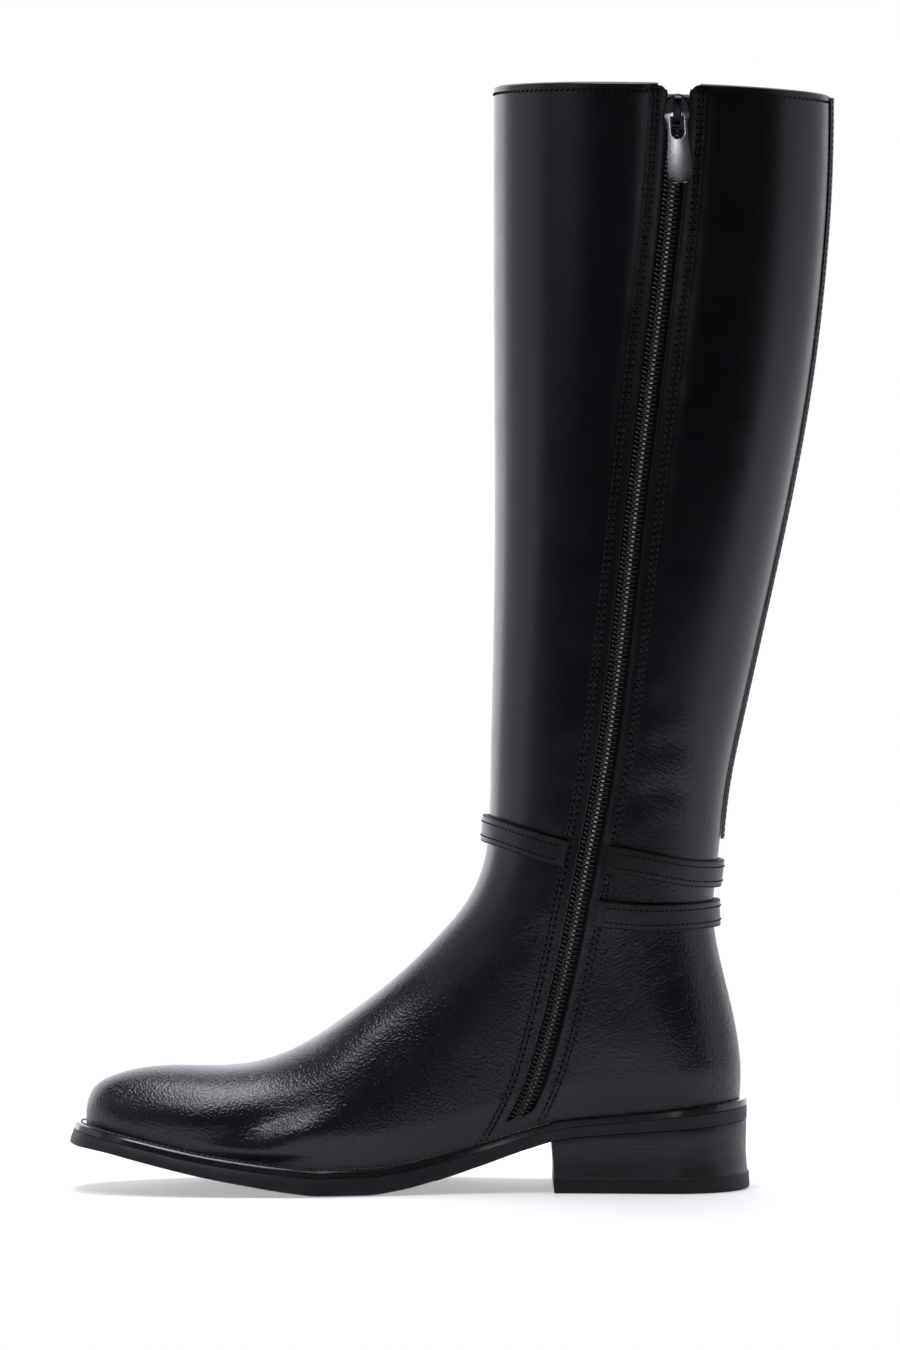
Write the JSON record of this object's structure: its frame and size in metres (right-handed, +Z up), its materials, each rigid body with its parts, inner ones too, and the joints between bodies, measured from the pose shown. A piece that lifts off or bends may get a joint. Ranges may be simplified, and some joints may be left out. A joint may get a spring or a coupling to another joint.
{
  "type": "tall riding boot",
  "caption": "Tall leather riding boot for the right foot with a full-length inside zip, stitched ankle straps, welted sole and low stacked heel.",
  "frame": {"origin": "middle of the boot's bounding box, on the floor", "axes": "+Z up the shaft, -X towards the toe, -Y towards the zip on the inner side of the foot"},
  "size_m": [0.2977, 0.108, 0.4283],
  "materials": {
    "leather": "semi-gloss black, fine grain",
    "stay_leather": "semi-gloss black",
    "strap_leather": "satin black, stitched edges",
    "sole_rubber": "matte black",
    "welt_leather": "polished black edge",
    "heel_leather": "charcoal stacked layers",
    "lift_rubber": "matte black",
    "insole_leather": "matte tan",
    "zip_tape": "woven black",
    "zip_coil": "black nylon",
    "slider_metal": "gunmetal",
    "tab_metal": "gunmetal, bare"
  },
  "bodies": {
    "boot": {"upper": "leather", "back_stay": "stay_leather", "strap_upper": "strap_leather", "strap_lower": "strap_leather", "outsole": "sole_rubber", "welt": "welt_leather", "heel_stack": "heel_leather", "heel_top_piece": "lift_rubber", "insole": "insole_leather", "zip_tape": "zip_tape", "zip_chain": "zip_coil", "zip_slider": "slider_metal"},
    "pull_tab": {"zip_pull_tab": "tab_metal"}
  },
  "joints": [
    {"name": "pull_tab_swing", "type": "hinge", "parent": "boot", "child": "pull_tab", "pos_m": [0.08613, -0.05205, 0.41603], "axis": [-0.9982, -0.0282, -0.0523], "range_deg": [0, 160]}
  ]
}
